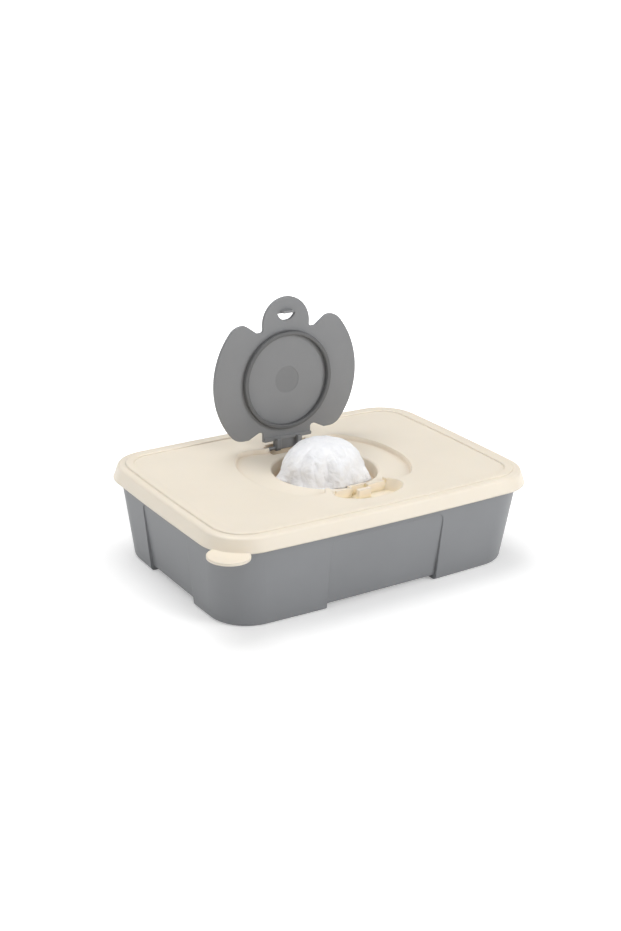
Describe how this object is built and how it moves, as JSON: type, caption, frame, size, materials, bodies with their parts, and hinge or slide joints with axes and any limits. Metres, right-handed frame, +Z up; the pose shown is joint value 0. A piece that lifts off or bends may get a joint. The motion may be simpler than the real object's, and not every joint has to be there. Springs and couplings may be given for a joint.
{
  "type": "countertop wipes dispenser",
  "caption": "Countertop wipes dispenser: grey tub, cream lift-off lid with a recessed seat, a flip flap standing open, and a white wipe standing out of the opening.",
  "frame": {"origin": "on the table, in the flap's middle plane, 3.2 mm right of the tub's middle and level with it front to back", "axes": "+X along the long side, +Y towards the flap's hinge, +Z up"},
  "size_m": [0.2352, 0.1706, 0.1574],
  "materials": {
    "tub_plastic": "satin grey moulded plastic",
    "lid_plastic": "satin cream moulded plastic",
    "seal_rubber": "soft dark grey seal",
    "wipe_fabric": "damp white non-woven cloth"
  },
  "bodies": {
    "base": {"tub": "tub_plastic", "wipe_01": "wipe_fabric", "wipe_02": "wipe_fabric", "wipe_03": "wipe_fabric", "wipe_04": "wipe_fabric", "wipe_05": "wipe_fabric", "wipe_06": "wipe_fabric", "wipe_07": "wipe_fabric", "wipe_08": "wipe_fabric", "wipe_09": "wipe_fabric", "wipe_10": "wipe_fabric", "wipe_11": "wipe_fabric", "wipe_12": "wipe_fabric", "wipe_13": "wipe_fabric", "wipe_14": "wipe_fabric", "wipe_15": "wipe_fabric", "wipe_16": "wipe_fabric", "wipe_17": "wipe_fabric", "wipe_18": "wipe_fabric", "wipe_19": "wipe_fabric", "wipe_20": "wipe_fabric", "wipe_21": "wipe_fabric", "wipe_22": "wipe_fabric", "wipe_23": "wipe_fabric", "wipe_24": "wipe_fabric"},
    "lid": {"lid": "lid_plastic", "pop_up_wipe": "wipe_fabric"},
    "flap": {"flap": "tub_plastic", "sealing_ring": "seal_rubber"}
  },
  "joints": [
    {"name": "lid_lift", "type": "slide", "parent": "base", "child": "lid", "axis": [0, 0, 1], "range_m": [0, 0.08]},
    {"name": "flap_hinge", "type": "hinge", "parent": "lid", "child": "flap", "pos_m": [0, 0.0435, 0.0584], "axis": [-1, 0, 0], "range_deg": [-92, 18], "deforming": ["pop_up_wipe"]}
  ]
}
